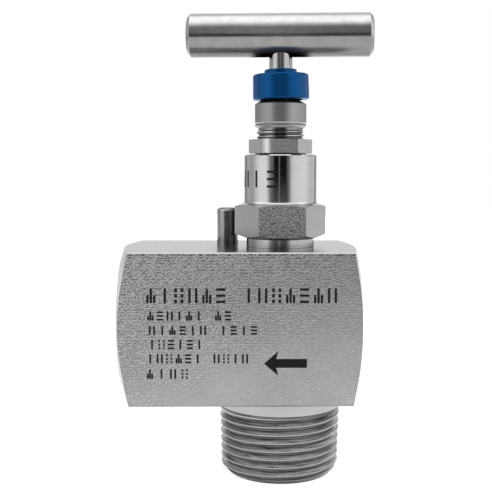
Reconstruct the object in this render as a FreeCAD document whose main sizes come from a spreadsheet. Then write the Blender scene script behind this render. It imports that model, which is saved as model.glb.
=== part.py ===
import FreeCAD, Part
import math
import os
import re

import Sketcher

# Angle-pattern needle valve with a screwed bonnet. Millimetres, +Z up along the stem.
# The origin is the centre of the male end face, and the female port looks along -X.

DIMENSIONS = {
    # square bar body, turned at both ends
    "bar_side": 40.0,
    "bar_bottom": 22.45,
    "bar_edge_break": 0.35,
    "port_end": 43.2,
    "port_cone_start": 18.3,
    "port_cone_angle": 18.5,
    "blind_end": 20.4,
    "blind_cone_start": 20.2,
    "blind_cone_angle": 15.2,
    # male inlet: 1 in. taper pipe thread, 11.5 threads per inch, taper 1 in 16 on diameter
    "pipe_pitch": 2.2088,
    "pipe_taper": 0.03125,
    "pipe_thread_depth": 1.45,
    "pipe_flat": 0.3,
    "neck_radius": 16.7,
    "neck_bottom": 18.75,
    "neck_relief_height": 0.6,
    "neck_relief_depth": 0.18,
    "inlet_rim_radius": 14.4,
    "inlet_chamfer_height": 2.0,
    "inlet_thread_first": -1.754,
    "inlet_thread_last": 18.3,
    "inlet_thread_angle": 100.0,
    # flow path
    "inlet_radius": 8.0,
    "inlet_depth": 30.0,
    "throat_bottom": 32.4,
    "orifice_radius": 4.0,
    "seat_bottom": 35.0,
    "seat_angle": 30.0,
    "chamber_floor": 36.0,
    "chamber_radius": 7.0,
    "chamber_top": 47.0,
    "port_recess_radius": 16.9,
    "port_recess_depth": 2.0,
    "port_crest_radius": 15.25,
    "port_thread_depth": 21.0,
    "port_thread_last": 20.2,
    "port_drill_radius": 14.5,
    "port_drill_depth": 25.0,
    "port_drill_tip": 31.3,
    "outlet_radius": 4.0,
    # bonnet joint
    "shank_radius": 9.0,
    "thread_gap": 0.05,
    "collar_radius": 9.3,
    "collar_seat": 61.3,
    "seal_height": 1.15,
    "seal_inner_radius": 7.3,
    "pin_place_x": 14.54,
    "pin_place_y": 8.0,
    "pin_radius": 3.0,
    "pin_bottom": 54.5,
    "pin_top": 72.8,
    "pin_crown": 0.9,
    # bonnet
    "bonnet_bottom": 48.2,
    "hex_bottom": 64.65,
    "hex_top": 74.42,
    "hex_across_flats": 21.7,
    "hex_turn": 0.2,
    "hex_chamfer_angle": 21.0,
    "bonnet_radius": 9.92,
    "bonnet_top": 87.45,
    "bonnet_foot_fillet": 0.95,
    "plug_bore_radius": 6.3,
    "plug_bore_top": 52.2,
    "stem_thread_bore": 5.15,
    "backseat_bottom": 68.6,
    "packing_bottom": 70.6,
    "packing_radius": 5.6,
    "gland_thread_bottom": 81.4,
    "gland_thread_bore": 6.58,
    # stem and plug
    "stem_radius": 3.175,
    "stem_bore_radius": 3.3,
    "stem_top": 122.2,
    "stem_thread_radius": 5.0,
    "stem_thread_bottom": 52.6,
    "stem_thread_top": 63.8,
    "stem_shank_radius": 3.6,
    "stem_shank_bottom": 46.0,
    "button_radius": 4.0,
    "button_bottom": 40.9,
    "button_top": 43.2,
    "button_neck_radius": 2.6,
    "ball_radius": 2.0,
    "ball_height": 40.4,
    "ball_cup_reach": 2.85,
    "plug_radius": 5.75,
    "plug_top": 45.5,
    "plug_tip_radius": 1.5,
    "plug_seat_gap": 0.07,
    "pocket_radius": 4.25,
    "pocket_top": 43.45,
    "pocket_mouth_radius": 2.85,
    # packing
    "ring_inner": 3.235,
    "ring_outer": 5.55,
    "ring_middle": 4.4,
    "ring_rise": 1.0,
    "ring_height": 1.85,
    "ring_step": 1.9,
    "washer_height": 0.98,
    "header_height": 1.28,
    "follower_height": 2.05,
    "gland_ring_height": 1.05,
    "stack_gap": 0.04,
    # gland adjuster and its lock nut
    "adjuster_bottom": 81.9,
    "adjuster_nose_radius": 5.5,
    "adjuster_nose_top": 83.0,
    "adjuster_thread_radius": 6.516,
    "adjuster_pitch": 1.058,
    "adjuster_thread_depth": 0.55,
    "adjuster_flat": 0.16,
    "adjuster_thread_first": 82.7,
    "adjuster_thread_last": 93.9,
    "adjuster_relief_bottom": 94.0,
    "adjuster_relief_radius": 6.1,
    "adjuster_head_bottom": 94.7,
    "adjuster_head_radius": 7.02,
    "adjuster_head_top": 101.3,
    "adjuster_head_chamfer": 0.6,
    "adjuster_top_chamfer": 0.15,
    "adjuster_groove_bottom": 95.5,
    "adjuster_groove_height": 0.65,
    "adjuster_groove_depth": 0.2,
    "wiper_seat_radius": 5.05,
    "wiper_seat_bottom": 99.4,
    "wiper_top": 102.1,
    "wiper_base_radius": 6.5,
    "wiper_top_radius": 5.3,
    "nut_bottom": 87.5,
    "nut_height": 4.15,
    "nut_across_flats": 15.0,
    "nut_turn": -0.5,
    "nut_chamfer": 0.25,
    "nut_face_radius": 7.0,
    "nut_face_height": 0.3,
    # dust cap
    "cap_bottom": 102.35,
    "cap_height": 6.85,
    "cap_foot_radius": 7.69,
    "cap_shoulder_radius": 7.57,
    "cap_neck_radius": 4.4,
    "cap_neck_height": 1.3,
    "cap_cavity_radius": 5.9,
    "cap_cavity_depth": 2.2,
    "cap_edge_radius": 0.55,
    "cap_tilt": 1.3,
    "cap_shift": 0.118,
    # T-bar handle
    "handle_height": 119.73,
    "handle_radius": 5.88,
    "handle_half_length": 25.15,
    "handle_offset": -0.3,
    "handle_turned_by": -4.0,
    "handle_chamfer_length": 1.0,
    "handle_chamfer_depth": 1.3,
    "handle_hole_top": 122.4,
    "handle_hole_radius": 3.2,
    "screw_radius": 2.0,
    "screw_hole_radius": 2.03,
    "screw_seat": 3.2,
    "screw_length": 2.1,
    "screw_socket_flats": 2.0,
    "screw_socket_depth": 1.3,
}

STEEL_EDGE = 0.25

doc = FreeCAD.newDocument("needle_valve")
sheet = doc.addObject("Spreadsheet::Sheet", "dims")


def fill_sheet():
    for row, (alias, value) in enumerate(DIMENSIONS.items(), start=1):
        sheet.set(f"A{row}", alias)
        sheet.set(f"B{row}", str(value))
        sheet.setAlias(f"B{row}", alias)
    doc.recompute()


def size(alias):
    return float(sheet.get(alias))


def bound(text):
    """The expression with each driving dimension read from the sheet."""

    def refer(match):
        word = match.group(0)
        return f"dims.{word}" if word in DIMENSIONS else word

    return re.sub(r"[a-z_]+", refer, str(text))


def new_body(name):
    body = doc.addObject("PartDesign::Body", name)
    body.Label = name
    return body


def origin_plane(body, role):
    return next(f for f in body.Origin.OriginFeatures if f.Role == role)


def new_sketch(body, name, role, height=None):
    sketch = body.newObject("Sketcher::SketchObject", name)
    sketch.AttachmentSupport = [(origin_plane(body, role), "")]
    sketch.MapMode = "FlatFace"
    if height is not None:
        sketch.setExpression("AttachmentOffset.Base.z", bound(height))
    return sketch


def fix_point(sketch, geometry, end, x, y):
    """Hold one end of a line, or a circle's centre, at the place its expressions give."""
    for kind, expression in (("DistanceX", x), ("DistanceY", y)):
        index = sketch.addConstraint(Sketcher.Constraint(kind, -1, 1, geometry, end, 1.0))
        sketch.setExpression(f"Constraints[{index}]", bound(expression))


def add_outline(sketch, points):
    """A closed outline of straight lines through points given as pairs of expressions."""
    first = sketch.GeometryCount
    count = len(points)
    rough = []
    for i in range(count):
        angle = 2 * math.pi * i / count
        rough.append(FreeCAD.Vector(20 + 10 * math.cos(angle), 20 + 10 * math.sin(angle)))
    for i in range(count):
        sketch.addGeometry(Part.LineSegment(rough[i], rough[(i + 1) % count]), False)
    for i in range(count):
        following = first + (i + 1) % count
        sketch.addConstraint(Sketcher.Constraint("Coincident", first + i, 2, following, 1))
    for i, (x, y) in enumerate(points):
        fix_point(sketch, first + i, 1, x, y)


def add_axis(sketch, height):
    """A construction line along the sketch's X at a height, for turning about."""
    line = Part.LineSegment(FreeCAD.Vector(-30, 40, 0), FreeCAD.Vector(30, 40, 0))
    index = sketch.addGeometry(line, True)
    fix_point(sketch, index, 1, "-50", height)
    fix_point(sketch, index, 2, "50", height)


def add_circle(sketch, x, y, radius):
    index = sketch.addGeometry(Part.Circle(FreeCAD.Vector(1, 1, 0), FreeCAD.Vector(0, 0, 1), 5), False)
    fix_point(sketch, index, 3, x, y)
    limit = sketch.addConstraint(Sketcher.Constraint("Radius", index, 5.0))
    sketch.setExpression(f"Constraints[{limit}]", bound(radius))


def add_hexagon(sketch, across_flats):
    """A hexagon round the sketch's origin with a flat towards -Y."""
    corners = []
    for i in range(6):
        angle = 60 * i - 60
        corners.append(
            (
                f"{across_flats} / sqrt(3) * cos({angle} deg)",
                f"{across_flats} / sqrt(3) * sin({angle} deg)",
            )
        )
    add_outline(sketch, corners)


def turn(body, kind, name, points, axis="V_Axis", axis_height=None):
    """A Revolution or Groove of an outline about the body's Z, its X, or a line along X."""
    sketch = new_sketch(body, f"{name}_outline", "XZ_Plane")
    if axis_height is not None:
        add_axis(sketch, axis_height)
        axis = "Axis0"
    add_outline(sketch, points)
    feature = body.newObject(f"PartDesign::{kind}", name)
    feature.Profile = sketch
    feature.ReferenceAxis = (sketch, [axis])
    feature.Angle = 360
    sketch.Visibility = False
    doc.recompute()
    return feature


def cut_to_hexagon(body, name, across_flats, reach, top, depth):
    """Mills six flats: a pocket between a hexagon and a circle outside the piece."""
    before = body.Shape.Volume
    sketch = new_sketch(body, f"{name}_outline", "XY_Plane", top)
    add_hexagon(sketch, across_flats)
    add_circle(sketch, "0", "0", reach)
    pocket = body.newObject("PartDesign::Pocket", name)
    pocket.Profile = sketch
    pocket.setExpression("Length", bound(depth))
    doc.recompute()
    assert body.Shape.Volume < before, f"{name} cut nothing"
    return pocket


def round_hole(body, name, role, x, y, radius, top, depth):
    before = body.Shape.Volume
    sketch = new_sketch(body, f"{name}_outline", role, top)
    add_circle(sketch, x, y, radius)
    pocket = body.newObject("PartDesign::Pocket", name)
    pocket.Profile = sketch
    pocket.setExpression("Length", bound(depth))
    doc.recompute()
    assert body.Shape.Volume < before, f"{name} cut nothing"
    return pocket


def circular_edges(shape, radius, height):
    """Names of the full-circle edges about Z of that radius and height."""
    found = []
    for index, edge in enumerate(shape.Edges, start=1):
        curve = edge.Curve
        if not isinstance(curve, Part.Circle):
            continue
        if abs(curve.Radius - radius) < 1e-4 and abs(curve.Center.z - height) < 1e-4:
            found.append(f"Edge{index}")
    return found


def fillet_edges(body, name, edges, radius):
    base = body.Tip
    fillet = body.newObject("PartDesign::Fillet", name)
    fillet.Base = (base, edges)
    fillet.setExpression("Radius", bound(radius))
    doc.recompute()
    return fillet


def helical_cutter(name, radius, taper, pitch, depth, flat, first, last, inward, start_angle):
    """A solid that leaves a right-hand V thread when it is cut away.

    It winds up Z and is built of quarter turns, so that the cut meets short faces only. Over its last
    part of a turn it backs out of the metal, as a die or tap does. With inward set it threads a hole.
    """
    cover = 0.05
    run_out = 0.6
    quarter_steps = 8
    sign = -1 if inward else 1
    turns = (last - first) / pitch
    half_mouth = (pitch - flat) / 2
    half_root = flat / 2
    section = [(-half_mouth, cover), (-half_root, -depth), (half_root, -depth), (half_mouth, cover)]

    def corner(turn_count, rise, reach):
        angle = 2 * math.pi * turn_count + math.radians(start_angle)
        z = first + pitch * turn_count + rise
        back_out = max(0.0, turn_count - (turns - run_out)) / run_out
        away = reach + back_out**2 * (depth + 2 * cover)
        r = radius + taper * z + sign * away
        return FreeCAD.Vector(r * math.cos(angle), r * math.sin(angle), z)

    faces = []
    quarters = math.ceil(turns * 4)
    for quarter in range(quarters):
        low = turns * quarter / quarters
        high = turns * (quarter + 1) / quarters
        stops = [low + (high - low) * i / quarter_steps for i in range(quarter_steps + 1)]
        edges = []
        for rise, reach in section:
            curve = Part.BSplineCurve()
            curve.interpolate(Points=[corner(stop, rise, reach) for stop in stops], Parameters=stops)
            edges.append(curve.toShape())
        faces += [Part.makeRuledSurface(edges[i], edges[(i + 1) % 4]) for i in range(4)]
    for end in (0, turns):
        ring = [corner(end, rise, reach) for rise, reach in section]
        faces.append(Part.Face(Part.makePolygon(ring + ring[:1])))
    shell = Part.Shell(faces)
    shell.sewShape()
    solid = Part.Solid(shell)
    if solid.Volume < 0:
        solid.reverse()
    cutter = doc.addObject("Part::Feature", name)
    cutter.Shape = solid
    return cutter


def cut_away(name, base, tool):
    cut = doc.addObject("Part::Cut", name)
    cut.Base = base
    cut.Tool = tool
    doc.recompute()
    assert cut.Shape.Volume < base.Shape.Volume - 1, f"{name} cut nothing"
    return cut


def place(obj, expression, axis="z"):
    obj.setExpression(f"Placement.Base.{axis}", bound(expression))


def spin(obj, angle, axis=(0, 0, 1)):
    obj.Placement = FreeCAD.Placement(obj.Placement.Base, FreeCAD.Rotation(FreeCAD.Vector(*axis), 1))
    obj.setExpression("Placement.Rotation.Angle", bound(f"{angle} * 1 deg"))


def lathe_piece(name, points, base_height=None):
    body = new_body(name)
    turn(body, "Revolution", f"{name}_turned", points)
    if base_height is not None:
        place(body, base_height)
    return body


def make_body_blank():
    """Square bar with coned ends, male stub, flow bores and the bonnet's bore, before threading."""
    body = new_body("valve_body_blank")
    square = new_sketch(body, "bar_section", "YZ_Plane", "-port_end")
    half = "bar_side / 2"
    low = "bar_bottom"
    high = "bar_bottom + bar_side"
    add_outline(square, [(f"-{half}", low), (half, low), (half, high), (f"-{half}", high)])
    bar = body.newObject("PartDesign::Pad", "bar")
    bar.Profile = square
    bar.setExpression("Length", bound("port_end + blind_end"))
    doc.recompute()
    long_edges = [
        f"Edge{i}" for i, e in enumerate(bar.Shape.Edges, start=1) if e.BoundBox.XLength > size("port_end")
    ]
    edge_break = body.newObject("PartDesign::Chamfer", "bar_edge_break")
    edge_break.Base = (bar, long_edges)
    edge_break.setExpression("Size", bound("bar_edge_break"))
    doc.recompute()

    axis = "(bar_bottom + bar_side / 2)"
    cone_reach = 12
    for name, end, outward, start, angle in (
        ("port_end_cone", "-port_end", "-1", "port_cone_start", "port_cone_angle"),
        ("blind_end_cone", "blind_end", "1", "blind_cone_start", "blind_cone_angle"),
    ):
        rim = f"{axis} + {start}"
        outer = f"{rim} + {cone_reach}"
        drop = f"{outward} * {cone_reach} * tan({angle} * 1 deg)"
        turn(
            body,
            "Groove",
            name,
            [
                (end, rim),
                (f"{end} - {drop}", outer),
                (f"{end} + {outward}", outer),
                (f"{end} + {outward}", rim),
            ],
            axis_height=axis,
        )

    turn(
        body,
        "Revolution",
        "male_stub",
        [
            ("0", "0"),
            ("inlet_rim_radius", "0"),
            ("neck_radius - (neck_bottom - inlet_chamfer_height) * pipe_taper", "inlet_chamfer_height"),
            ("neck_radius - neck_relief_height * pipe_taper", "neck_bottom - neck_relief_height"),
            ("neck_radius - neck_relief_depth", "neck_bottom - neck_relief_height * 0.8"),
            ("neck_radius - neck_relief_depth", "neck_bottom"),
            ("neck_radius", "neck_bottom"),
            ("neck_radius", "bar_bottom + 1"),
            ("0", "bar_bottom + 1"),
        ],
    )
    turn(
        body,
        "Groove",
        "stem_axis_bores",
        [
            ("0", "-1"),
            ("inlet_radius + 1.6", "-1"),
            ("inlet_radius + 0.6", "0"),
            ("inlet_radius", "0.6"),
            ("inlet_radius", "inlet_depth"),
            ("orifice_radius", "throat_bottom"),
            ("orifice_radius", "seat_bottom"),
            ("orifice_radius + (chamber_floor - seat_bottom) * tan(seat_angle * 1 deg)", "chamber_floor"),
            ("chamber_radius", "chamber_floor"),
            ("chamber_radius", "chamber_top"),
            ("shank_radius + thread_gap", "chamber_top"),
            ("shank_radius + thread_gap", "collar_seat - 0.1"),
            ("collar_radius + 0.1", "collar_seat - 0.1"),
            ("collar_radius + 0.1", "bar_bottom + bar_side - 0.3"),
            ("collar_radius + 0.4", "bar_bottom + bar_side"),
            ("collar_radius + 1.4", "bar_bottom + bar_side + 1"),
            ("0", "bar_bottom + bar_side + 1"),
        ],
    )
    turn(
        body,
        "Groove",
        "port_axis_bores",
        [
            ("-port_end - 1", axis),
            ("-port_end - 1", f"{axis} + port_recess_radius + 1.4"),
            ("-port_end", f"{axis} + port_recess_radius + 0.4"),
            ("-port_end + 0.4", f"{axis} + port_recess_radius"),
            ("-port_end + port_recess_depth", f"{axis} + port_recess_radius"),
            (
                "-port_end + port_recess_depth",
                f"{axis} + port_crest_radius - port_recess_depth * pipe_taper",
            ),
            (
                "-port_end + port_thread_depth",
                f"{axis} + port_crest_radius - port_thread_depth * pipe_taper",
            ),
            ("-port_end + port_thread_depth", f"{axis} + port_drill_radius"),
            ("-port_end + port_drill_depth", f"{axis} + port_drill_radius"),
            ("-port_end + port_drill_tip", f"{axis} + outlet_radius"),
            ("0", f"{axis} + outlet_radius"),
            ("0", axis),
        ],
        axis_height=axis,
    )
    round_hole(
        body,
        "pin_hole",
        "XY_Plane",
        "-pin_place_x",
        "pin_place_y",
        "pin_radius + 0.01",
        "bar_bottom + bar_side",
        "bar_bottom + bar_side - pin_bottom",
    )
    return body


def make_valve_body():
    blank = make_body_blank()
    taper = size("pipe_taper")
    crest_at_rim = size("neck_radius") - size("neck_bottom") * taper
    inlet_cutter = helical_cutter(
        "inlet_thread_cutter",
        crest_at_rim,
        taper,
        size("pipe_pitch"),
        size("pipe_thread_depth"),
        size("pipe_flat"),
        size("inlet_thread_first"),
        size("inlet_thread_last"),
        False,
        size("inlet_thread_angle"),
    )
    threaded_inlet = cut_away("threaded_inlet", blank, inlet_cutter)
    port_cutter = helical_cutter(
        "port_thread_cutter",
        size("port_crest_radius"),
        -taper,
        size("pipe_pitch"),
        size("pipe_thread_depth"),
        size("pipe_flat"),
        -size("pipe_thread_depth"),
        size("port_thread_last"),
        True,
        17.0,
    )
    # the port's thread winds inwards from the port's mouth, along +X
    port_height = size("bar_bottom") + size("bar_side") / 2
    port_cutter.Placement = FreeCAD.Placement(
        FreeCAD.Vector(-size("port_end"), 0, port_height),
        FreeCAD.Rotation(FreeCAD.Vector(0, 1, 0), 90),
    )
    valve_body = cut_away("valve_body", threaded_inlet, port_cutter)
    valve_body.Label = "valve_body"
    return valve_body


def make_bonnet():
    corner = "hex_across_flats / sqrt(3)"
    slope = "tan(hex_chamfer_angle * 1 deg)"
    bonnet = lathe_piece(
        "bonnet",
        [
            ("plug_bore_radius", "bonnet_bottom"),
            ("shank_radius - 0.6", "bonnet_bottom"),
            ("shank_radius", "bonnet_bottom + 0.6"),
            ("shank_radius", "collar_seat"),
            ("collar_radius", "collar_seat"),
            ("collar_radius", "hex_bottom"),
            (f"{corner} + 0.2", f"hex_bottom + ({corner} + 0.2 - collar_radius) * {slope}"),
            (f"{corner} + 0.2", f"hex_top - ({corner} + 0.2 - bonnet_radius) * {slope}"),
            ("bonnet_radius", "hex_top"),
            ("bonnet_radius", f"bonnet_top - {STEEL_EDGE}"),
            (f"bonnet_radius - {STEEL_EDGE}", "bonnet_top"),
            ("gland_thread_bore", "bonnet_top"),
            ("gland_thread_bore", "gland_thread_bottom"),
            ("packing_radius", "gland_thread_bottom"),
            ("packing_radius", "packing_bottom"),
            ("stem_bore_radius", "packing_bottom"),
            ("stem_bore_radius", "backseat_bottom + 1.2"),
            ("stem_thread_bore", "backseat_bottom"),
            ("stem_thread_bore", "plug_bore_top"),
            ("plug_bore_radius", "plug_bore_top - 0.8"),
        ],
    )
    foot = circular_edges(bonnet.Shape, size("bonnet_radius"), size("hex_top"))
    fillet_edges(bonnet, "bonnet_foot", foot, "bonnet_foot_fillet")
    cut_to_hexagon(
        bonnet,
        "bonnet_flats",
        "hex_across_flats",
        "hex_across_flats",
        "hex_top",
        "hex_top - hex_bottom + 0.2",
    )
    spin(bonnet, "hex_turn")
    return bonnet


def make_lock_nut():
    corner = "nut_across_flats / sqrt(3)"
    nut = lathe_piece(
        "adjuster_lock_nut",
        [
            ("gland_thread_bore", "0"),
            ("nut_face_radius", "0"),
            ("nut_face_radius", "nut_face_height"),
            (f"{corner} - nut_chamfer", "nut_face_height"),
            (f"{corner} + 0.1", "nut_face_height + nut_chamfer + 0.1"),
            (f"{corner} + 0.1", "nut_height - 0.25"),
            (f"{corner} - 0.15", "nut_height"),
            ("gland_thread_bore", "nut_height"),
        ],
        "nut_bottom",
    )
    cut_to_hexagon(
        nut,
        "nut_flats",
        "nut_across_flats",
        "nut_across_flats",
        "nut_height + 1",
        "nut_height + 2",
    )
    spin(nut, "nut_turn")
    return nut


def make_seal_ring():
    return lathe_piece(
        "bonnet_seal_ring",
        [
            ("seal_inner_radius", "0"),
            ("shank_radius - 0.05", "0"),
            ("shank_radius - 0.05", "seal_height"),
            ("seal_inner_radius", "seal_height"),
        ],
        "chamber_top + 0.02",
    )


def make_lock_pin():
    pin = lathe_piece(
        "bonnet_lock_pin",
        [
            ("0", "pin_bottom + 0.05"),
            ("pin_radius - 0.5", "pin_bottom + 0.05"),
            ("pin_radius", "pin_bottom + 0.55"),
            ("pin_radius", "pin_top - pin_crown"),
            ("pin_radius - 0.25", "pin_top - pin_crown * 0.5"),
            ("pin_radius - 0.8", "pin_top - pin_crown * 0.12"),
            ("pin_radius - 1.5", "pin_top"),
            ("0", "pin_top"),
        ],
    )
    place(pin, "-pin_place_x", "x")
    place(pin, "pin_place_y", "y")
    return pin


def make_plug():
    """Non-rotating needle tip: a cone that closes the orifice and a pocket for the stem's button."""
    slope = "tan(seat_angle * 1 deg)"
    closed = "(orifice_radius - plug_seat_gap)"
    return lathe_piece(
        "needle_tip",
        [
            ("0", f"seat_bottom - ({closed} - plug_tip_radius) / {slope}"),
            ("plug_tip_radius", f"seat_bottom - ({closed} - plug_tip_radius) / {slope}"),
            ("plug_radius", f"seat_bottom + (plug_radius - {closed}) / {slope}"),
            ("plug_radius", "plug_top - 0.3"),
            ("plug_radius - 0.3", "plug_top"),
            ("pocket_mouth_radius", "plug_top"),
            ("pocket_mouth_radius", "pocket_top"),
            ("pocket_radius", "pocket_top"),
            ("pocket_radius", "ball_height"),
            ("ball_cup_reach", "ball_height"),
            ("0", "ball_height - ball_cup_reach"),
        ],
    )


def make_thrust_ball():
    ball = doc.addObject("Part::Sphere", "thrust_ball")
    ball.Label = "thrust_ball"
    ball.setExpression("Radius", bound("ball_radius"))
    place(ball, "ball_height")
    return ball


def make_stem():
    """Stem with a button at its foot, its power thread at its major diameter, and a back-seat cone."""
    cup_top = "ball_height + ball_cup_reach"
    return lathe_piece(
        "stem",
        [
            ("0", cup_top),
            (f"{cup_top} - button_bottom", "button_bottom"),
            ("button_radius", "button_bottom"),
            ("button_radius", "button_top"),
            ("button_neck_radius", "button_top"),
            ("button_neck_radius", "stem_shank_bottom"),
            ("stem_shank_radius", "stem_shank_bottom"),
            ("stem_shank_radius", "stem_thread_bottom"),
            ("stem_thread_radius", "stem_thread_bottom + 0.7"),
            ("stem_thread_radius", "stem_thread_top - 0.6"),
            ("stem_radius", "stem_thread_top + 0.6"),
            ("stem_radius", "stem_top"),
            ("0", "stem_top"),
        ],
    )


def make_flat_ring(name, height, base_height):
    return lathe_piece(
        name,
        [("ring_inner", "0"), ("ring_outer", "0"), ("ring_outer", height), ("ring_inner", height)],
        base_height,
    )


def make_chevron_ring(name, base_height):
    return lathe_piece(
        name,
        [
            ("ring_inner", "0"),
            ("ring_middle", "ring_rise"),
            ("ring_outer", "0"),
            ("ring_outer", "ring_height"),
            ("ring_middle", "ring_height + ring_rise"),
            ("ring_inner", "ring_height"),
        ],
        base_height,
    )


def make_packing():
    """Base washer, header ring, three chevrons, follower ring and gland ring, bottom to top."""
    washer_base = "packing_bottom + stack_gap / 2"
    header_base = f"{washer_base} + washer_height + stack_gap"
    chevron_base = f"{header_base} + header_height + stack_gap"
    follower_base = f"{chevron_base} + 3 * ring_step"
    gland_base = f"{follower_base} + follower_height + stack_gap"
    pieces = [make_flat_ring("packing_base_washer", "washer_height", washer_base)]
    pieces.append(
        lathe_piece(
            "packing_header_ring",
            [
                ("ring_inner", "0"),
                ("ring_outer", "0"),
                ("ring_outer", "header_height"),
                ("ring_middle", "header_height + ring_rise"),
                ("ring_inner", "header_height"),
            ],
            header_base,
        )
    )
    for level, name in enumerate(("packing_ring_lower", "packing_ring_middle", "packing_ring_upper")):
        pieces.append(make_chevron_ring(name, f"{chevron_base} + {level} * ring_step"))
    pieces.append(
        lathe_piece(
            "packing_follower_ring",
            [
                ("ring_inner", "0"),
                ("ring_middle", "ring_rise"),
                ("ring_outer", "0"),
                ("ring_outer", "follower_height"),
                ("ring_inner", "follower_height"),
            ],
            follower_base,
        )
    )
    pieces.append(make_flat_ring("gland_ring", "gland_ring_height", gland_base))
    return pieces


def make_adjuster():
    blank = lathe_piece(
        "gland_adjuster_blank",
        [
            ("stem_bore_radius", "adjuster_bottom"),
            ("adjuster_nose_radius", "adjuster_bottom"),
            ("adjuster_nose_radius", "adjuster_nose_top"),
            ("adjuster_thread_radius", "adjuster_nose_top + 0.6"),
            ("adjuster_thread_radius", "adjuster_relief_bottom - 0.3"),
            ("adjuster_relief_radius", "adjuster_relief_bottom"),
            ("adjuster_relief_radius", "adjuster_head_bottom"),
            ("adjuster_head_radius - adjuster_head_chamfer * 0.9", "adjuster_head_bottom"),
            ("adjuster_head_radius", "adjuster_head_bottom + adjuster_head_chamfer"),
            ("adjuster_head_radius", "adjuster_groove_bottom"),
            (
                "adjuster_head_radius - adjuster_groove_depth",
                "adjuster_groove_bottom + adjuster_groove_height * 0.4",
            ),
            ("adjuster_head_radius", "adjuster_groove_bottom + adjuster_groove_height"),
            ("adjuster_head_radius", "adjuster_head_top - adjuster_top_chamfer"),
            ("adjuster_head_radius - adjuster_top_chamfer", "adjuster_head_top"),
            ("wiper_seat_radius", "adjuster_head_top"),
            ("wiper_seat_radius", "wiper_seat_bottom"),
            ("stem_bore_radius", "wiper_seat_bottom"),
        ],
    )
    cutter = helical_cutter(
        "adjuster_thread_cutter",
        size("adjuster_thread_radius"),
        0.0,
        size("adjuster_pitch"),
        size("adjuster_thread_depth"),
        size("adjuster_flat"),
        size("adjuster_thread_first"),
        size("adjuster_thread_last"),
        False,
        0.5,
    )
    adjuster = cut_away("gland_adjuster", blank, cutter)
    adjuster.Label = "gland_adjuster"
    return adjuster


def make_wiper_ring():
    return lathe_piece(
        "stem_wiper_ring",
        [
            ("ring_inner", "wiper_seat_bottom + 0.03"),
            ("wiper_seat_radius - 0.05", "wiper_seat_bottom + 0.03"),
            ("wiper_seat_radius - 0.05", "adjuster_head_top + 0.03"),
            ("wiper_base_radius", "adjuster_head_top + 0.03"),
            ("wiper_base_radius", "adjuster_head_top + 0.15"),
            ("wiper_top_radius", "wiper_top"),
            ("ring_inner", "wiper_top"),
        ],
    )


def make_dust_cap():
    cap = lathe_piece(
        "dust_cap",
        [
            ("cap_cavity_radius", "0"),
            ("cap_foot_radius", "0"),
            ("cap_shoulder_radius", "cap_height"),
            ("cap_neck_radius", "cap_height"),
            ("cap_neck_radius", "cap_height + cap_neck_height"),
            ("stem_bore_radius", "cap_height + cap_neck_height"),
            ("stem_bore_radius", "cap_cavity_depth"),
            ("cap_cavity_radius", "cap_cavity_depth"),
        ],
    )
    height = size("cap_height")
    rims = circular_edges(cap.Shape, size("cap_foot_radius"), 0)
    rims += circular_edges(cap.Shape, size("cap_shoulder_radius"), height)
    fillet_edges(cap, "cap_rims", rims, "cap_edge_radius")
    neck_top = height + size("cap_neck_height")
    neck = circular_edges(cap.Shape, size("cap_neck_radius"), neck_top)
    neck += circular_edges(cap.Shape, size("cap_neck_radius"), height)
    fillet_edges(cap, "cap_neck_rims", neck, "cap_edge_radius * 0.6")
    spin(cap, "cap_tilt", (0, -1, 0))
    place(cap, "cap_bottom")
    place(cap, "cap_shift", "x")
    return cap


def make_handle_bar():
    """T-bar, turned about X, its end edges broken in two steps, its middle a little off the stem."""
    bar = new_body("handle_bar")
    left = "handle_offset - handle_half_length"
    right = "handle_offset + handle_half_length"
    face_radius = "handle_radius - handle_chamfer_depth"
    halfway_radius = "handle_radius - handle_chamfer_depth * 0.6"
    turn(
        bar,
        "Revolution",
        "handle_turned",
        [
            (left, "0"),
            (left, face_radius),
            (f"{left} + handle_chamfer_length * 0.25", halfway_radius),
            (f"{left} + handle_chamfer_length", "handle_radius"),
            (f"{right} - handle_chamfer_length", "handle_radius"),
            (f"{right} - handle_chamfer_length * 0.25", halfway_radius),
            (right, face_radius),
            (right, "0"),
        ],
        axis="H_Axis",
    )
    round_hole(
        bar,
        "stem_socket",
        "XY_Plane",
        "0",
        "0",
        "handle_hole_radius",
        "handle_hole_top - handle_height",
        "handle_radius * 2",
    )
    round_hole(bar, "screw_hole", "XZ_Plane", "0", "0", "screw_hole_radius", "0", "handle_radius + 1")
    spin(bar, "handle_turned_by")
    place(bar, "handle_height")
    return bar


def make_set_screw():
    screw = lathe_piece(
        "handle_set_screw",
        [
            ("0", "0"),
            ("screw_radius - 0.5", "0"),
            ("screw_radius", "0.5"),
            ("screw_radius", "screw_length - 0.25"),
            ("screw_radius - 0.25", "screw_length"),
            ("0", "screw_length"),
        ],
    )
    sketch = new_sketch(screw, "screw_socket_outline", "XY_Plane", "screw_length")
    add_hexagon(sketch, "screw_socket_flats")
    socket = screw.newObject("PartDesign::Pocket", "screw_socket")
    socket.Profile = sketch
    socket.setExpression("Length", bound("screw_socket_depth"))
    doc.recompute()
    turned = FreeCAD.Rotation(FreeCAD.Vector(0, 0, 1), size("handle_turned_by"))
    seat = turned.multVec(FreeCAD.Vector(0, size("screw_seat"), 0))
    screw.Placement = FreeCAD.Placement(
        seat + FreeCAD.Vector(0, 0, size("handle_height")),
        turned * FreeCAD.Rotation(FreeCAD.Vector(1, 0, 0), -90),
    )
    return screw


def build_pieces():
    pieces = [make_valve_body(), make_bonnet(), make_seal_ring(), make_lock_pin()]
    pieces += [make_plug(), make_thrust_ball(), make_stem()]
    pieces += make_packing()
    pieces += [make_adjuster(), make_lock_nut(), make_wiper_ring()]
    pieces += [make_dust_cap(), make_handle_bar(), make_set_screw()]
    doc.recompute()
    return pieces


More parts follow.
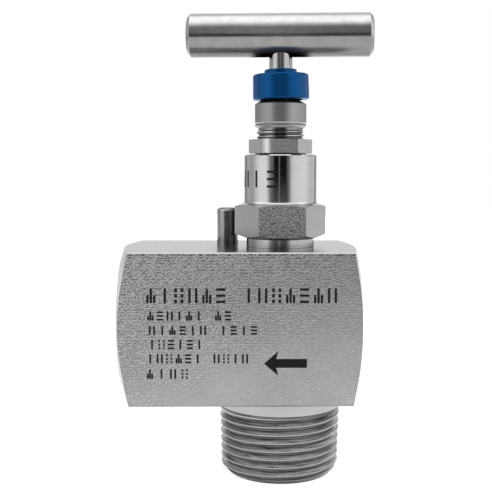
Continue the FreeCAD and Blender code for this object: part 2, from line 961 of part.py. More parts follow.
def check_pieces(pieces):
    for obj in doc.Objects:
        assert "Invalid" not in obj.State and "Error" not in obj.State, f"{obj.Name}: {obj.State}"
    for piece in pieces:
        shape = piece.Shape
        assert not shape.isNull() and shape.isValid(), f"{piece.Label} has no valid shape"
        assert len(shape.Solids) == 1, f"{piece.Label} has {len(shape.Solids)} solids"


def write_pieces(pieces):
    os.makedirs("parts", exist_ok=True)
    for piece in pieces:
        piece.Shape.exportStep(f"parts/{piece.Label}.step")
        box = piece.Shape.BoundBox
        print(
            f"{piece.Label}: volume {piece.Shape.Volume:.2f}, "
            f"x {box.XMin:.2f} {box.XMax:.2f}, y {box.YMin:.2f} {box.YMax:.2f}, "
            f"z {box.ZMin:.2f} {box.ZMax:.2f}"
        )


fill_sheet()
all_pieces = build_pieces()
check_pieces(all_pieces)
write_pieces(all_pieces)
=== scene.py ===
import math
import random

import bmesh
import bpy
from mathutils import Matrix, Vector


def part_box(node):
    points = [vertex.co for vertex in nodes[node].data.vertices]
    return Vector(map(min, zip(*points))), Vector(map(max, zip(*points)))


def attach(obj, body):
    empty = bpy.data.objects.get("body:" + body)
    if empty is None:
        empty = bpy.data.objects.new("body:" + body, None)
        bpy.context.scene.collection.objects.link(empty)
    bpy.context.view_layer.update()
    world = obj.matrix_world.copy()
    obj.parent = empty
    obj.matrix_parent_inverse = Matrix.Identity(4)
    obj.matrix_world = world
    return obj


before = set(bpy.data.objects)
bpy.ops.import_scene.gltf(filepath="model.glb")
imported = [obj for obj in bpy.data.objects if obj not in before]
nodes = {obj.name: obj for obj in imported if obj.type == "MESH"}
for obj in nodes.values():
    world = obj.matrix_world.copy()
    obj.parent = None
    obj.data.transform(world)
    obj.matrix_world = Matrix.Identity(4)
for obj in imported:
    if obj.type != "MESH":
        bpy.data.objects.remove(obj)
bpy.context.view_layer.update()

scene = bpy.context.scene
scene.view_settings.view_transform = "Standard"

# Meshes are in metres; the materials work in millimetres.
MM = 0.001
WHITE = (1, 1, 1, 1)


# ---------------------------------------------------------------- camera

CAMERA_PLACE = (-12.903, -246.53, 83.812)
CAMERA_PAN = 0.813
CAMERA_PITCH = 4.963
CAMERA_ROLL = 0.072
FOCAL_PIXELS = 895.69
FRAME_PIXELS = 492
SENSOR_WIDTH = 36.0


def add_camera():
    """A camera at the photograph's viewing angle; the angles are in degrees."""
    pan, pitch, roll = (math.radians(angle) for angle in (CAMERA_PAN, CAMERA_PITCH, CAMERA_ROLL))
    forward = Vector((math.sin(pan) * math.cos(pitch), math.cos(pan) * math.cos(pitch), -math.sin(pitch)))
    right = forward.cross(Vector((0, 0, 1))).normalized()
    up = right.cross(forward)
    turned = math.cos(roll) * right + math.sin(roll) * up
    up = turned.cross(forward)
    data = bpy.data.cameras.new("camera")
    data.sensor_fit = "HORIZONTAL"
    data.sensor_width = SENSOR_WIDTH
    data.lens = FOCAL_PIXELS / FRAME_PIXELS * SENSOR_WIDTH
    data.clip_start = 0.01
    data.clip_end = 50
    camera = bpy.data.objects.new("camera", data)
    basis = Matrix((turned, up, -forward)).transposed().to_4x4()
    camera.matrix_world = Matrix.Translation(Vector(CAMERA_PLACE) * MM) @ basis
    scene.collection.objects.link(camera)
    scene.camera = camera


# ---------------------------------------------------------------- node helpers


class Graph:
    """A short way to write shader nodes."""

    def __init__(self, tree):
        self.tree = tree

    def add(self, kind, **settings):
        node = self.tree.nodes.new(kind)
        for key, value in settings.items():
            setattr(node, key, value)
        return node

    def link(self, source, target):
        if isinstance(source, (int, float, tuple)):
            target.default_value = source
        else:
            self.tree.links.new(source, target)

    def math(self, operation, a, b=0.0, c=0.0):
        node = self.add("ShaderNodeMath", operation=operation)
        for socket, value in zip(node.inputs, (a, b, c)):
            self.link(value, socket)
        return node.outputs[0]

    def times(self, a, b):
        return self.math("MULTIPLY", a, b)

    def absolute(self, value):
        return self.math("ABSOLUTE", value)

    def vary(self, noise, spread, level):
        """level, moved up and down by a noise that runs from 0 to 1."""
        return self.math("MULTIPLY_ADD", self.math("SUBTRACT", noise, 0.5), spread, level)

    def scale(self, vector, factor):
        node = self.add("ShaderNodeVectorMath", operation="SCALE")
        self.link(vector, node.inputs[0])
        self.link(factor, node.inputs["Scale"])
        return node.outputs["Vector"]

    def distance(self, a, b):
        """How far a point with the offsets a and b is from an axis."""
        node = self.add("ShaderNodeVectorMath", operation="LENGTH")
        self.link(self.join(a, b, 0.0), node.inputs[0])
        return node.outputs["Value"]

    def split(self, vector):
        node = self.add("ShaderNodeSeparateXYZ")
        self.link(vector, node.inputs[0])
        return node.outputs

    def join(self, x, y, z):
        node = self.add("ShaderNodeCombineXYZ")
        for socket, value in zip(node.inputs, (x, y, z)):
            self.link(value, socket)
        return node.outputs[0]

    def step(self, value, low, high, at_low=0.0, at_high=1.0):
        """A smooth step: at_low where value is under low, at_high where it is over high."""
        node = self.add("ShaderNodeMapRange", interpolation_type="SMOOTHSTEP")
        for name, item in (
            ("Value", value),
            ("From Min", low),
            ("From Max", high),
            ("To Min", at_low),
            ("To Max", at_high),
        ):
            self.link(item, node.inputs[name])
        return node.outputs[0]

    def noise(self, vector, scale, detail=2.0, roughness=0.5):
        node = self.add("ShaderNodeTexNoise")
        self.link(vector, node.inputs["Vector"])
        node.inputs["Scale"].default_value = scale
        node.inputs["Detail"].default_value = detail
        node.inputs["Roughness"].default_value = roughness
        return node.outputs["Fac"]

    def stretched_noise(self, place, per_axis, scale=1.0, detail=3.0, roughness=0.6):
        """Noise drawn out along the axes whose factor in per_axis is small."""
        stretched = [self.times(value, factor) for value, factor in zip(self.split(place), per_axis)]
        return self.noise(self.join(*stretched), scale, detail, roughness)

    def mix(self, factor, a, b):
        """a where factor is 0, b where it is 1; both are numbers."""
        node = self.add("ShaderNodeMix", data_type="FLOAT")
        self.link(factor, node.inputs[0])
        self.link(a, node.inputs[2])
        self.link(b, node.inputs[3])
        return node.outputs[0]

    def mix_colour(self, factor, a, b):
        node = self.add("ShaderNodeMix", data_type="RGBA")
        self.link(factor, node.inputs[0])
        node.inputs[6].default_value = (*a, 1.0)
        node.inputs[7].default_value = (*b, 1.0)
        return node.outputs[2]

    def bump(self, height, depth_mm, strength=1.0, normal=None):
        node = self.add("ShaderNodeBump")
        node.inputs["Distance"].default_value = depth_mm * MM
        self.link(strength, node.inputs["Strength"])
        self.link(height, node.inputs["Height"])
        if normal is not None:
            self.link(normal, node.inputs["Normal"])
        return node.outputs[0]


def place_of(graph):
    """The place on the object, in millimetres."""
    return graph.scale(graph.add("ShaderNodeTexCoord").outputs["Object"], 1 / MM)


def normal_of(graph):
    """The surface's own direction, as the three parts of a unit vector in the object's axes."""
    return graph.split(graph.add("ShaderNodeTexCoord").outputs["Normal"])


def new_material(name):
    material = bpy.data.materials.new(name)
    material.use_nodes = True
    material.node_tree.nodes.clear()
    graph = Graph(material.node_tree)
    shader = graph.add("ShaderNodeBsdfPrincipled")
    output = graph.add("ShaderNodeOutputMaterial")
    graph.link(shader.outputs[0], output.inputs[0])
    return material, graph, shader, place_of(graph)


def new_metal(name):
    material, graph, shader, place = new_material(name)
    shader.inputs["Metallic"].default_value = 1.0
    return material, graph, shader, place


def shader_of(material):
    return next(node for node in material.node_tree.nodes if node.type == "BSDF_PRINCIPLED")


def grey(graph, level):
    """A grey with a trace of blue in it."""
    return graph.join(level, level, graph.times(level, 1.01))


# ---------------------------------------------------------------- metals

# Heights in millimetres. Each is a soft step from the surface below it to the one above it.
THREAD_END = (17.95, 18.1)
STUB_NECK = (18.2, 18.5)
RELIEF_ROOT = (18.38, 18.5)
NECK_MIDDLE = (19.8, 20.0)
BAR_FOOT = (22.3, 22.6)
TORN_EDGE = (61.5, 61.8)
BONNET_CYLINDER = (74.4, 75.4)
BONNET_RIM = (87.3, 87.45)
NUT_FOOT = (87.82, 87.9)
ADJUSTER_HEAD = (94.65, 94.75)
ADJUSTER_GROOVE = (96.2, 96.4)
HANDLE_BOTTOM = (114.2, 116.6)

PORT_HEIGHT = 42.45
NUT_CORNER = (-4.395, -7.462)
ADJUSTER_CREST = 6.516


def steel(name, level, roughness, lines, line_scale, line_depth, mottle):
    """Machined steel. lines is the axis the tool marks run round ("Z" or "X") or along ("along X")."""
    material, graph, shader, place = new_metal(name)
    per_axis = {
        "Z": (0.05, 0.05, line_scale),
        "X": (line_scale, 0.05, 0.05),
        "along X": (0.03, line_scale, line_scale),
    }[lines]
    cloud = graph.noise(place, 0.35, 3.0, 0.6)
    streak = graph.stretched_noise(place, per_axis, 1.0, 4.0, 0.65)
    tone = graph.vary(cloud, mottle * 2, level)
    tone = graph.vary(streak, mottle * level * 2.5, tone)
    graph.link(grey(graph, tone), shader.inputs["Base Color"])
    graph.link(graph.vary(streak, roughness * 0.5, roughness), shader.inputs["Roughness"])
    graph.link(graph.bump(streak, line_depth), shader.inputs["Normal"])
    return material


def rolled_grain(graph, place, specks, lines, wander_scale, wander):
    """The crinkled lines of a rolled skin, from about -2 to 2: they wander, with fine specks between them."""
    z = graph.split(place)[2]
    bends = graph.times(graph.noise(place, wander_scale, 2.0, 0.55), wander)
    wave = graph.math("SINE", graph.math("MULTIPLY_ADD", z, lines, bends))
    return graph.vary(specks, 2.0, wave)


def thread_tone_with_painted_shade(graph, x, z, nz, inset):
    """Painted shade on the thread: dark roots and lower flanks, mid-grey upper flanks with scores along them,
    and a darker relief above.
    """
    scores = graph.join(0.0, graph.times(x, 0.12), graph.times(z, 3.4))
    scores = graph.noise(scores, 1.0, 3.0, 0.75)
    # painted shade: the lower flanks, which face down, are dark and the upper flanks mid-grey
    tone = graph.step(nz, -0.45, 0.05, 0.08, 0.40)
    # painted shade in the thread's roots
    tone = graph.times(tone, graph.step(inset, 1.0, 1.3, 0.9, 0.3))
    # painted shade in the relief under the neck, darkest just below the neck's step
    tone = graph.times(tone, graph.step(z, *THREAD_END, 1.0, 0.45))
    tone = graph.times(tone, graph.step(z, *RELIEF_ROOT, 1.0, 0.3))
    return graph.times(tone, graph.math("MULTIPLY_ADD", scores, 5.2, -1.6))


def body_steel():
    """The bar: rolled skin with a crinkled grain, milled top and foot, turned ends and threads."""
    material, graph, shader, place = new_material("body_bar_steel")
    x, y, z = graph.split(place)
    nx, ny, nz = normal_of(graph)
    in_bar = graph.step(z, *BAR_FOOT)
    skin = graph.times(graph.step(graph.absolute(ny), 0.985, 0.995), in_bar)

    fine = graph.noise(place, 2.6, 2.0, 0.55)
    coarse = graph.noise(place, 0.09, 2.0, 0.5)
    crinkle = rolled_grain(graph, place, fine, 8.0, 1.25, 23.0)
    # the crinkle is deepest towards the top left of the marked face
    depth = graph.math("MULTIPLY_ADD", z, 0.023, graph.math("MULTIPLY_ADD", x, -0.0118, -0.638))
    depth = graph.math("MINIMUM", graph.math("MAXIMUM", depth, 0.2), 1.0)

    # tool marks: rings round Z on the stub, rings round the port's axis on the ends, straight passes on top
    stub_lines = graph.stretched_noise(place, (0.0, 0.0, 6.0))
    from_port_axis = graph.distance(y, graph.math("SUBTRACT", z, PORT_HEIGHT))
    end_lines = graph.noise(graph.join(graph.times(from_port_axis, 3.0), 0.0, 0.0), 1.0, 3.0, 0.6)
    pass_lines = graph.stretched_noise(place, (0.08, 3.0, 0.0))
    is_end = graph.step(graph.absolute(nx), 0.8, 0.9)
    is_flat = graph.step(nz, 0.97, 0.99)
    tool = graph.mix(is_end, stub_lines, end_lines)
    tool = graph.mix(is_flat, tool, pass_lines)

    # the thread's crests lie on a cone of 1 in 32 on the radius
    crest = graph.math("MULTIPLY_ADD", z, 0.03125, 16.114)
    inset = graph.math("SUBTRACT", crest, graph.distance(x, y))
    threaded = graph.times(graph.step(z, *NECK_MIDDLE, 1.0, 0.0), graph.step(inset, 0.05, 0.12))

    # the rolled skin is torn in places along the top edge
    torn = graph.stretched_noise(place, (0.7, 0.0, 1.3), 1.0, 3.0, 0.7)
    torn = graph.times(graph.step(torn, 0.48, 0.54), graph.step(z, *TORN_EDGE))

    tone_skin = graph.vary(coarse, 0.08, graph.step(x, -32.0, -5.0, 0.31, 0.292))
    tone_skin = graph.math("MULTIPLY_ADD", graph.times(crinkle, depth), 0.125, tone_skin)
    tone_skin = graph.times(tone_skin, graph.mix(torn, 1.0, 0.2))
    tone_skin = graph.math("MAXIMUM", tone_skin, 0.03)
    tone_tool = graph.mix(is_flat, graph.mix(in_bar, 0.365, 0.225), 0.175)
    tone_tool = graph.vary(tool, 0.06, tone_tool)
    tone_tool = graph.times(tone_tool, graph.step(z, *STUB_NECK, 0.85, 1.0))
    tone_tool = graph.mix(threaded, tone_tool, thread_tone_with_painted_shade(graph, x, z, nz, inset))
    graph.link(grey(graph, graph.mix(skin, tone_tool, tone_skin)), shader.inputs["Base Color"])
    graph.link(graph.mix(threaded, 1.0, 0.35), shader.inputs["Metallic"])
    rough = graph.mix(skin, graph.vary(tool, 0.10, 0.24), graph.vary(fine, 0.12, 0.24))
    graph.link(rough, shader.inputs["Roughness"])
    tooled = graph.bump(tool, 0.006)
    graph.link(graph.bump(crinkle, 0.02, graph.times(skin, depth), tooled), shader.inputs["Normal"])
    return material


def bonnet_steel():
    """Rolled grain on the hexagon's flats, a polished cylinder above, turned cones and collar."""
    material, graph, shader, place = new_metal("bonnet_bright_steel")
    x, y, z = graph.split(place)
    ny, nz = normal_of(graph)[1:]
    radius = graph.distance(x, y)
    upright = graph.step(graph.absolute(nz), 0.02, 0.08, 1.0, 0.0)
    flats = graph.times(graph.step(radius, 10.4, 10.6), upright)
    front = graph.step(graph.absolute(ny), 0.8, 0.95)
    grain = rolled_grain(graph, place, graph.noise(place, 3.0, 2.0, 0.5), 6.0, 1.1, 22.0)
    turning = graph.stretched_noise(place, (0.06, 0.06, 3.2), 1.0, 4.0, 0.7)
    cloud = graph.noise(place, 0.25, 2.0, 0.5)
    # the rim that the lock nut stands over is in its shade
    seat = graph.times(graph.step(z, *BONNET_RIM), graph.step(radius, 8.7, 9.0, 1.0, 0.0))

    tone_turned = graph.vary(cloud, 0.05, graph.vary(turning, 0.05, 0.30))
    tone_turned = graph.times(tone_turned, graph.mix(seat, 1.0, 0.1))
    grain_contrast = graph.mix(front, 0.010, 0.046)
    tone_grain = graph.math("MULTIPLY_ADD", grain, grain_contrast, graph.mix(front, 0.25, 0.182))
    graph.link(grey(graph, graph.mix(flats, tone_turned, tone_grain)), shader.inputs["Base Color"])
    rough_turned = graph.math("MULTIPLY_ADD", turning, 0.05, graph.step(z, *BONNET_CYLINDER, 0.15, 0.04))
    graph.link(graph.mix(flats, rough_turned, 0.26), shader.inputs["Roughness"])
    tooled = graph.bump(turning, 0.008)
    graph.link(graph.bump(grain, 0.04, graph.times(flats, front), tooled), shader.inputs["Normal"])
    return material


def handle_steel():
    """Drawn bar with painted shade underneath, and painted shade round the stem, where it is also dull."""
    material = steel("drawn_bar", 0.30, 0.18, "along X", 1.9, 0.014, 0.07)
    shader = shader_of(material)
    graph = Graph(material.node_tree)
    x, y, z = graph.split(place_of(graph))
    nz = normal_of(graph)[2]
    # painted shade: the bar's lower half and its underside are darker
    lower_half = graph.step(nz, -0.16, 0.0, 0.76, 1.0)
    bottom = graph.step(nz, -0.93, -0.82, 0.70, 1.0)
    # painted shade round the stem under the bar: darker colour and darker reflections; it is also rougher
    # there
    clear_of_stem = graph.step(graph.distance(x, y), 5.0, 9.5, 0.05, 1.0)
    clear_of_stem = graph.mix(graph.step(z, *HANDLE_BOTTOM), clear_of_stem, 1.0)

    colour = shader.inputs["Base Color"].links[0].from_socket
    shade = graph.times(graph.times(bottom, lower_half), clear_of_stem)
    graph.link(graph.scale(colour, shade), shader.inputs["Base Color"])
    rough = shader.inputs["Roughness"].links[0].from_socket
    graph.link(graph.mix(clear_of_stem, 0.6, rough), shader.inputs["Roughness"])
    # painted shade on the reflections round the stem
    graph.link(grey(graph, clear_of_stem), shader.inputs["Specular Tint"])
    return material


def nut_steel():
    """A bright nut with straight grinding marks along its flats and painted shade along its foot; one of its
    corners is worn round.
    """
    material, graph, shader, place = new_metal("nut_steel")
    x, y, z = graph.split(place)
    grain = graph.stretched_noise(place, (0.5, 1.0, 2.6), 1.2, 3.0, 0.6)
    flat = graph.step(graph.absolute(normal_of(graph)[1]), 0.8, 0.95)
    tone = graph.vary(grain, 0.2, graph.mix(flat, 0.28, 0.42))
    # painted shade: the nut's foot, over the bonnet's rim, is nearly black
    tone = graph.times(tone, graph.step(z, *NUT_FOOT, 0.08, 1.0))
    graph.link(grey(graph, tone), shader.inputs["Base Color"])
    rough = graph.math("MULTIPLY_ADD", grain, 0.08, graph.mix(flat, 0.15, 0.24))
    graph.link(rough, shader.inputs["Roughness"])

    across = graph.math("SUBTRACT", x, NUT_CORNER[0])
    along = graph.math("SUBTRACT", y, NUT_CORNER[1])
    worn_width = 2.5
    worn = graph.math("SUBTRACT", worn_width, graph.distance(across, along))
    worn = graph.math("MAXIMUM", worn, 0.0)
    rounded = graph.bump(graph.times(graph.math("POWER", worn, 2.0), -0.12), 1.0)
    graph.link(graph.bump(grain, 0.06, 1.0, rounded), shader.inputs["Normal"])
    return material


def adjuster_steel():
    """Satin head with painted highlights on its downward-facing edges and painted shade in its groove, and a
    darker, smoother thread with painted shade in its roots.
    """
    material, graph, shader, place = new_metal("gland_adjuster_steel")
    x, y, z = graph.split(place)
    nz = normal_of(graph)[2]
    turning = graph.stretched_noise(place, (0.06, 0.06, 2.6), 1.0, 4.0, 0.7)
    bands = graph.stretched_noise(place, (0.4, 0.4, 0.0))
    head = graph.step(z, *ADJUSTER_HEAD)
    # painted highlight on the head's downward-facing edges
    edge = graph.times(head, graph.step(nz, -0.5, -0.25, 1.0, 0.0))
    # painted shade on the groove's upward-facing faces
    groove = graph.times(graph.step(nz, 0.25, 0.5), graph.step(z, *ADJUSTER_GROOVE, 1.0, 0.0))
    groove = graph.times(head, groove)
    inset = graph.math("SUBTRACT", ADJUSTER_CREST, graph.distance(x, y))
    # painted shade in the thread's roots
    root = graph.times(graph.math("SUBTRACT", 1.0, head), graph.step(inset, 0.25, 0.5))

    tone = graph.mix(head, 0.27, 0.185)
    tone = graph.mix(edge, tone, 0.36)
    tone = graph.mix(groove, tone, 0.06)
    tone = graph.vary(bands, 0.10, graph.vary(turning, 0.07, tone))
    tone = graph.times(tone, graph.mix(root, 1.0, 0.35))
    graph.link(grey(graph, tone), shader.inputs["Base Color"])
    rough = graph.math("MULTIPLY_ADD", turning, 0.12, graph.mix(head, 0.08, 0.35))
    graph.link(rough, shader.inputs["Roughness"])
    graph.link(graph.bump(turning, 0.012), shader.inputs["Normal"])
    return material


# ---------------------------------------------------------------- plastics, rubber and the rest


def plain(name, colour, roughness, specular=0.5, noise_scale=1.5, spread=0.15):
    """A moulded or pressed material with a little unevenness in colour, gloss and surface."""
    material, graph, shader, place = new_material(name)
    cloud = graph.noise(place, noise_scale, 3.0, 0.55)
    dark = tuple(part * (1 - spread) for part in colour)
    light = tuple(min(1.0, part * (1 + spread)) for part in colour)
    graph.link(graph.mix_colour(cloud, dark, light), shader.inputs["Base Color"])
    graph.link(graph.vary(cloud, roughness * 0.4, roughness), shader.inputs["Roughness"])
    shader.inputs["Specular IOR Level"].default_value = specular
    graph.link(graph.bump(cloud, 0.01), shader.inputs["Normal"])
    return material


def blue_plastic():
    """Deep blue moulding with a blue, slightly metallic sheen."""
    material = plain("blue_moulded_plastic", (0.0028, 0.038, 0.126), 0.24, 0.3, 0.8, 0.12)
    shader = shader_of(material)
    shader.inputs["Specular Tint"].default_value = (0.1, 0.55, 1.0, 1.0)
    shader.inputs["Metallic"].default_value = 0.45
    return material


def dress_nodes():
    """One procedural material on every CAD node."""
    turned = steel("turned_round_z", 0.22, 0.32, "Z", 2.6, 0.012, 0.05)
    white = plain("white_packing", (0.8, 0.8, 0.77), 0.45)
    dress = {
        "valve_body": body_steel(),
        "bonnet": bonnet_steel(),
        "bonnet_lock_pin": steel("ground_pin", 0.17, 0.14, "Z", 1.2, 0.006, 0.05),
        "adjuster_lock_nut": nut_steel(),
        "gland_adjuster": adjuster_steel(),
        "stem": steel("polished_round_z", 0.25, 0.10, "Z", 2.0, 0.004, 0.03),
        "handle_bar": handle_steel(),
        "handle_set_screw": steel("black_oxide_steel", 0.06, 0.35, "X", 2.0, 0.004, 0.01),
        "dust_cap": blue_plastic(),
        "stem_wiper_ring": plain("black_rubber_moulded", (0.006, 0.006, 0.006), 0.6, 0.3),
        "bonnet_seal_ring": plain("pressed_graphite", (0.02, 0.02, 0.022), 0.5),
        "needle_tip": turned,
        "thrust_ball": turned,
        "packing_base_washer": turned,
        "gland_ring": turned,
        "packing_header_ring": white,
        "packing_ring_lower": white,
        "packing_ring_middle": white,
        "packing_ring_upper": white,
        "packing_follower_ring": white,
    }
    for name, material in dress.items():
        mesh = nodes[name].data
        mesh.materials.clear()
        mesh.materials.append(material)


# ---------------------------------------------------------------- etched marks

# The marks are slabs that stand this far out of the surface and as far into it, in millimetres.
MARK_DEPTH = 0.03


def marking_material():
    material, graph, shader, place = new_material("etched_black")
    cloud = graph.noise(place, 4.0, 3.0, 0.6)
    colour = graph.mix_colour(cloud, (0.003, 0.003, 0.003), (0.009, 0.009, 0.010))
    graph.link(colour, shader.inputs["Base Color"])
    graph.link(graph.math("MULTIPLY_ADD", cloud, 0.2, 0.5), shader.inputs["Roughness"])
    shader.inputs["Specular IOR Level"].default_value = 0.1
    graph.link(graph.bump(cloud, 0.01), shader.inputs["Normal"])
    return material


def slab(bm, outline, place):
    """A thin closed slab: outline is a list of (u, w), place turns (u, w, height) into a point."""
    front = [bm.verts.new(place(u, w, MARK_DEPTH)) for u, w in outline]
    back = [bm.verts.new(place(u, w, -MARK_DEPTH)) for u, w in outline]
    bm.faces.new(front)
    bm.faces.new(list(reversed(back)))
    for i in range(len(outline)):
        j = (i + 1) % len(outline)
        bm.faces.new((front[j], front[i], back[i], back[j]))


def bar(bm, u0, u1, w0, w1, place, parts=1):
    """A rectangle, in several parts across so that it can follow a round surface."""
    for k in range(parts):
        a = u0 + (u1 - u0) * k / parts
        b = u0 + (u1 - u0) * (k + 1) / parts
        slab(bm, [(a, w0), (b, w0), (b, w1), (a, w1)], place)


def glyph(bm, kind, u, width, w0, w1, stroke, thickness, place):
    """One abstract sign made of straight bars; none of them is a letter."""
    height = w1 - w0
    middle = u + (width - stroke) / 2
    if kind == 0:
        # two uprights
        bar(bm, u, u + stroke, w0, w1, place)
        bar(bm, u + width - stroke, u + width, w0, w1, place)
    elif kind == 1:
        # three level bars
        for level in (0.0, 0.5, 1.0):
            base = w0 + level * (height - thickness)
            bar(bm, u, u + width, base, base + thickness, place, 4)
    elif kind == 2:
        # one upright
        bar(bm, middle, middle + stroke, w0, w1, place)
    elif kind == 3:
        # six dots
        dot = height * 0.24
        for base in (w0, w0 + height * 0.38, w1 - dot):
            bar(bm, u, middle - stroke * 0.2, base, base + dot, place)
            bar(bm, middle + stroke * 1.2, u + width, base, base + dot, place)
    else:
        # three uprights, the middle one taller
        short = height * 0.55
        bar(bm, u, u + stroke, w0, w0 + short, place)
        bar(bm, middle, middle + stroke, w0, w1, place)
        bar(bm, u + width - stroke, u + width, w0, w0 + short, place)


def finish_mark(bm, name, material):
    bmesh.ops.recalc_face_normals(bm, faces=bm.faces)
    mesh = bpy.data.meshes.new(name)
    bm.to_mesh(mesh)
    bm.free()
    mesh.materials.append(material)
    piece = bpy.data.objects.new(name, mesh)
    scene.collection.objects.link(piece)
    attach(piece, "valve")


def add_marks():
    """A flow arrow and rows of abstract signs on the front face, and a row of them round the bonnet."""
    material = marking_material()
    face_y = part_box("valve_body")[0].y

    def on_face(u, w, height):
        return Vector((u * MM, face_y - height * MM, w * MM))

    arrow = bmesh.new()
    slab(
        arrow,
        [(-5.0, 33.8), (-1.33, 30.6), (-1.9, 32.7), (6.03, 32.7), (6.03, 35.0), (-1.9, 35.0), (-1.33, 37.1)],
        on_face,
    )
    finish_mark(arrow, "flow_arrow", material)

    # left, right, bottom and top of each row, then the width, gap and stroke of its signs
    rows = (
        (-35.1, 13.6, 49.5, 53.3, 2.35, 1.15, 0.62),
        (-34.9, -13.5, 45.0, 47.4, 1.6, 0.95, 0.48),
        (-34.5, -6.8, 41.3, 43.6, 1.6, 0.95, 0.48),
        (-34.5, -18.4, 37.6, 40.0, 1.6, 0.95, 0.48),
        (-35.0, -9.1, 33.9, 36.3, 1.6, 0.95, 0.48),
        (-35.1, -24.6, 29.9, 32.4, 1.6, 0.95, 0.48),
    )
    kinds = range(5)
    draw = random.Random(5)
    signs = bmesh.new()
    for left, right, low, high, width, gap, stroke in rows:
        count = round((right - left + gap) / (width + gap))
        pitch = (right - left - width) / (count - 1)
        previous = -1
        for i in range(count):
            kind = draw.choice([k for k in kinds if k != previous])
            previous = kind
            # every eighth place is a space
            if i % 8 != 6:
                glyph(signs, kind, left + i * pitch, width, low, high, stroke, stroke, on_face)
    finish_mark(signs, "marking_rows", material)

    # the bonnet's signs are laid out in degrees round it, to the left of its front
    bonnet_radius = 9.92
    first, pitch, width, stroke, thickness = -24.0, -27.5, 17.0, 3.6, 0.62
    low, high = 78.7, 83.2

    def on_bonnet(u, w, height):
        angle = math.radians(u)
        radius = (bonnet_radius + height) * MM
        return Vector((radius * math.sin(angle), -radius * math.cos(angle), w * MM))

    ring = bmesh.new()
    for i, kind in enumerate((1, 2, 0, 4, 1, 3)):
        glyph(ring, kind, first + pitch * i, width, low, high, stroke, thickness, on_bonnet)
    finish_mark(ring, "bonnet_marking", material)


# ---------------------------------------------------------------- stage and light


def add_stage_piece(name, quads, material):
    """An object of four-cornered faces that is not part of the valve; each quad is four corners."""
    verts = [corner for quad in quads for corner in quad]
    faces = [tuple(range(start, start + 4)) for start in range(0, len(verts), 4)]
    mesh = bpy.data.meshes.new(name)
    mesh.from_pydata(verts, [], faces)
    mesh.materials.append(material)
    piece = bpy.data.objects.new(name, mesh)
    scene.collection.objects.link(piece)
    return piece


def matt_material(name, noise_scale, spread, level, roughness, glow):
    """A matt surface that also gives off light; glow is a number or a function of the graph and the place."""
    material, graph, shader, place = new_material(name)
    shade = graph.noise(place, noise_scale, 2.0)
    tone = graph.math("MULTIPLY_ADD", shade, spread, level)
    graph.link(graph.join(tone, tone, tone), shader.inputs["Base Color"])
    shader.inputs["Roughness"].default_value = roughness
    shader.inputs["Specular IOR Level"].default_value = 0.0
    shader.inputs["Emission Color"].default_value = WHITE
    strength = glow(graph, place) if callable(glow) else glow
    graph.link(strength, shader.inputs["Emission Strength"])
    return material


def add_floor():
    """A plain pale floor, larger behind the valve than in front of it."""
    x0, x1, y0, y1 = -0.9, 0.9, -0.42, 1.4
    quad = [(x0, y0, 0), (x1, y0, 0), (x1, y1, 0), (x0, y1, 0)]
    add_stage_piece("floor", [quad], matt_material("floor_pale", 0.01, 0.01, 0.30, 0.9, 0.86))


def card_glow(graph, place):
    """The cards are black in the middle and fade to grey at the top and the bottom."""
    height = graph.split(place)[2]
    return graph.math("ADD", graph.step(height, 64, 80, 0.22, 0.0), graph.step(height, 92, 104, 0.0, 0.14))


def add_lens_cards():
    """Black cards on either side of the lens, which the polished metal mirrors; cameras do not see them."""
    y, z0, z1 = -0.252, 0.060, 0.125
    sides = ((-0.105, -0.0305), (-0.0235, 0.070))
    quads = [[(x0, y, z0), (x1, y, z0), (x1, y, z1), (x0, y, z1)] for x0, x1 in sides]
    material = matt_material("card_black", 0.05, 0.004, 0.006, 1.0, card_glow)
    cards = add_stage_piece("lens_cards", quads, material)
    cards.visible_camera = False
    cards.visible_shadow = False


# The tent's brightness round the valve, by degrees from the camera's side, left to right.
TENT_AROUND = (
    (-180, 1.15),
    (-160, 1.15),
    (-156, 0.5),
    (-137, 0.5),
    (-131, 1.1),
    (-112, 0.95),
    (-98, 1.0),
    (-88, 1.5),
    (-72, 2.05),
    (-48, 2.1),
    (-40, 1.1),
    (-33, 0.4),
    (-14, 0.06),
    (-9.5, 0.06),
    (-7.5, 0.8),
    (-5.5, 0.8),
    (-3.5, 0.05),
    (15, 0.09),
    (24, 0.4),
    (32, 1.5),
    (42, 1.9),
    (80, 2.05),
    (100, 1.6),
    (112, 1.35),
    (131, 1.35),
    (137, 0.5),
    (156, 0.5),
    (160, 1.15),
    (180, 1.15),
)
TENT_TOP = 3.1
TENT_BELOW = 1.05
# A colour ramp holds values up to 1, so the brightness is divided by this and multiplied again.
RAMP_SCALE = 2.5


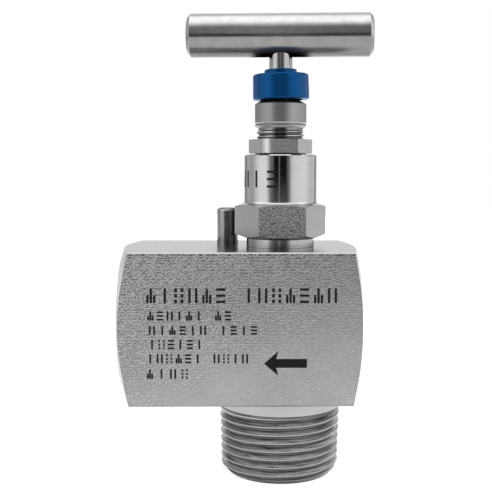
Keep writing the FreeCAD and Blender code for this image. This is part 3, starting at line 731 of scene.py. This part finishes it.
def tent_around(graph, azimuth):
    """The brightness at an azimuth that runs from 0 to 1 round the whole circle."""
    ramp = graph.add("ShaderNodeValToRGB")
    graph.link(azimuth, ramp.inputs[0])
    elements = ramp.color_ramp.elements
    while len(elements) < len(TENT_AROUND):
        elements.new(0.5)
    # all positions come first, because the ramp sorts its elements by position
    for element, (degrees, value) in zip(elements, TENT_AROUND):
        element.position = degrees / 360 + 0.5
    for element, (degrees, value) in zip(elements, TENT_AROUND):
        element.color = (value / RAMP_SCALE,) * 3 + (1.0,)
    return graph.times(ramp.outputs[0], RAMP_SCALE)


def add_studio():
    """A soft light tent as the world: white behind, bright sides and top, a dark gap round the camera."""
    world = bpy.data.worlds.new("studio")
    scene.world = world
    world.use_nodes = True
    world.node_tree.nodes.clear()
    graph = Graph(world.node_tree)
    coords = graph.add("ShaderNodeTexCoord")
    x, y, z = graph.split(coords.outputs["Generated"])
    toward = graph.times(y, -1.0)
    azimuth = graph.math("MULTIPLY_ADD", graph.math("ARCTAN2", x, toward), 0.5 / math.pi, 0.5)
    elevation = graph.times(graph.math("ARCSINE", z), 180 / math.pi)
    steepness = graph.times(graph.math("ARCTAN2", z, toward), 180 / math.pi)

    # the gap is darkest just under the horizon
    dim = graph.step(elevation, -6.0, 14.0, 0.12, 0.31)
    dim = graph.math("ADD", dim, graph.step(elevation, -14.0, -7.0, 0.2, 0.0))
    around = graph.math("MAXIMUM", tent_around(graph, azimuth), dim)

    over = graph.times(graph.step(steepness, 34, 76), graph.step(steepness, 96, 128, 1.0, 0.0))
    over = graph.times(over, graph.step(z, 0.3, 0.5))
    level = graph.mix(over, around, TENT_TOP)
    below = graph.step(elevation, -24.0, -18.0, 1.0, 0.0)
    level = graph.mix(below, level, TENT_BELOW)

    # the camera itself sees plain white
    path = graph.add("ShaderNodeLightPath")
    level = graph.mix(path.outputs["Is Camera Ray"], level, 1.0)
    background = graph.add("ShaderNodeBackground")
    graph.link(graph.join(level, level, level), background.inputs["Color"])
    output = graph.add("ShaderNodeOutputWorld")
    graph.link(background.outputs[0], output.inputs[0])


add_camera()
dress_nodes()
add_marks()
add_floor()
add_lens_cards()
add_studio()
